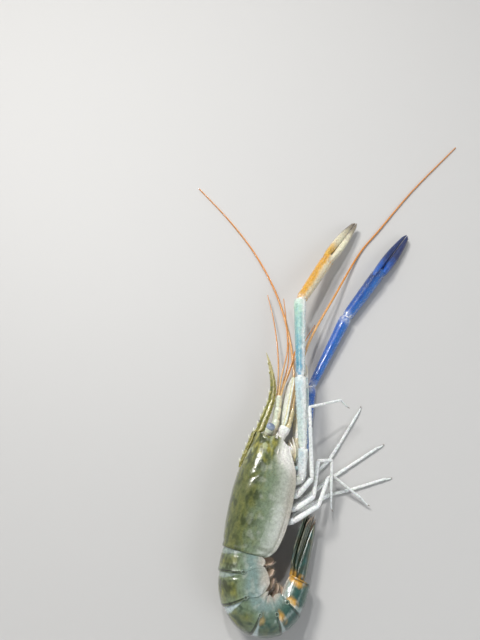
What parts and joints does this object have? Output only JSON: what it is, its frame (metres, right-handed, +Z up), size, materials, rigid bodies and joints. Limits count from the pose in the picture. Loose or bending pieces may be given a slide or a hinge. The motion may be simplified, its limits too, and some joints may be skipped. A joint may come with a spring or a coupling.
{
  "type": "giant river prawn",
  "caption": "Giant river prawn lying on its left side with curled tail, toothed rostrum, long feelers and long blue and orange claw legs: a still, life-size display model.",
  "frame": {"origin": "middle of the small flat under the left side of the carapace, on the floor", "axes": "+Z up from the floor, +Y towards the head and claws, -X towards the animal's back"},
  "size_m": [0.2646, 0.4274, 0.0376],
  "materials": {
    "carapace_shell": "wet translucent olive shell, paler below",
    "tail_shell": "wet translucent grey-green shell with pale bands",
    "rostrum_shell": "olive-green blade with pale teeth",
    "underside": "pale soft underside",
    "eye": "dark glossy blue-grey cornea",
    "feeler": "orange and cream feelers",
    "head_limb": "cream and yellow head limbs",
    "claw_orange": "orange-yellow claw",
    "claw_blue": "bright cobalt blue claw leg",
    "claw_finger": "mauve-grey velvet on the moving finger",
    "leg_white": "white and pale blue legs",
    "swimmeret": "beige-pink swimming legs",
    "tail_fan": "dark translucent tail fan with pale ridges"
  },
  "bodies": {
    "root": {"carapace": "carapace_shell", "thorax": "underside", "rostrum": "rostrum_shell", "abdomen_1": "tail_shell", "abdomen_2": "tail_shell", "abdomen_3": "tail_shell", "abdomen_4": "tail_shell", "abdomen_5": "tail_shell", "abdomen_6": "tail_shell", "telson": "tail_fan", "uropod_inner_right": "tail_fan", "uropod_outer_right": "tail_fan", "uropod_inner_left": "tail_fan", "uropod_outer_left": "tail_fan", "eyestalk_right": "head_limb", "eye_right": "eye", "antennule_right": "feeler", "antenna_base_right": "head_limb", "antenna_scale_right": "head_limb", "antenna_right": "feeler", "maxilliped_right": "head_limb", "leg_1_right": "leg_white", "leg_3_right": "leg_white", "leg_4_right": "leg_white", "leg_5_right": "leg_white", "swimmeret_1_right": "swimmeret", "swimmeret_2_right": "swimmeret", "swimmeret_3_right": "swimmeret", "swimmeret_4_right": "swimmeret", "swimmeret_5_right": "swimmeret", "eyestalk_left": "head_limb", "eye_left": "eye", "antennule_left": "feeler", "antenna_base_left": "head_limb", "antenna_scale_left": "head_limb", "antenna_left": "feeler", "maxilliped_left": "head_limb", "leg_1_left": "leg_white", "leg_3_left": "leg_white", "leg_4_left": "leg_white", "leg_5_left": "leg_white", "swimmeret_1_left": "swimmeret", "swimmeret_2_left": "swimmeret", "swimmeret_3_left": "swimmeret", "swimmeret_4_left": "swimmeret", "swimmeret_5_left": "swimmeret", "claw_right_coxa": "leg_white", "claw_right_ischium": "leg_white", "claw_right_merus": "leg_white", "claw_right_carpus": "leg_white", "claw_right_palm": "claw_orange", "claw_right_dactyl": "claw_finger", "claw_left_coxa": "leg_white", "claw_left_ischium": "leg_white", "claw_left_merus": "claw_blue", "claw_left_carpus": "claw_blue", "claw_left_palm": "claw_blue", "claw_left_dactyl": "claw_finger"}
  },
  "joints": []
}
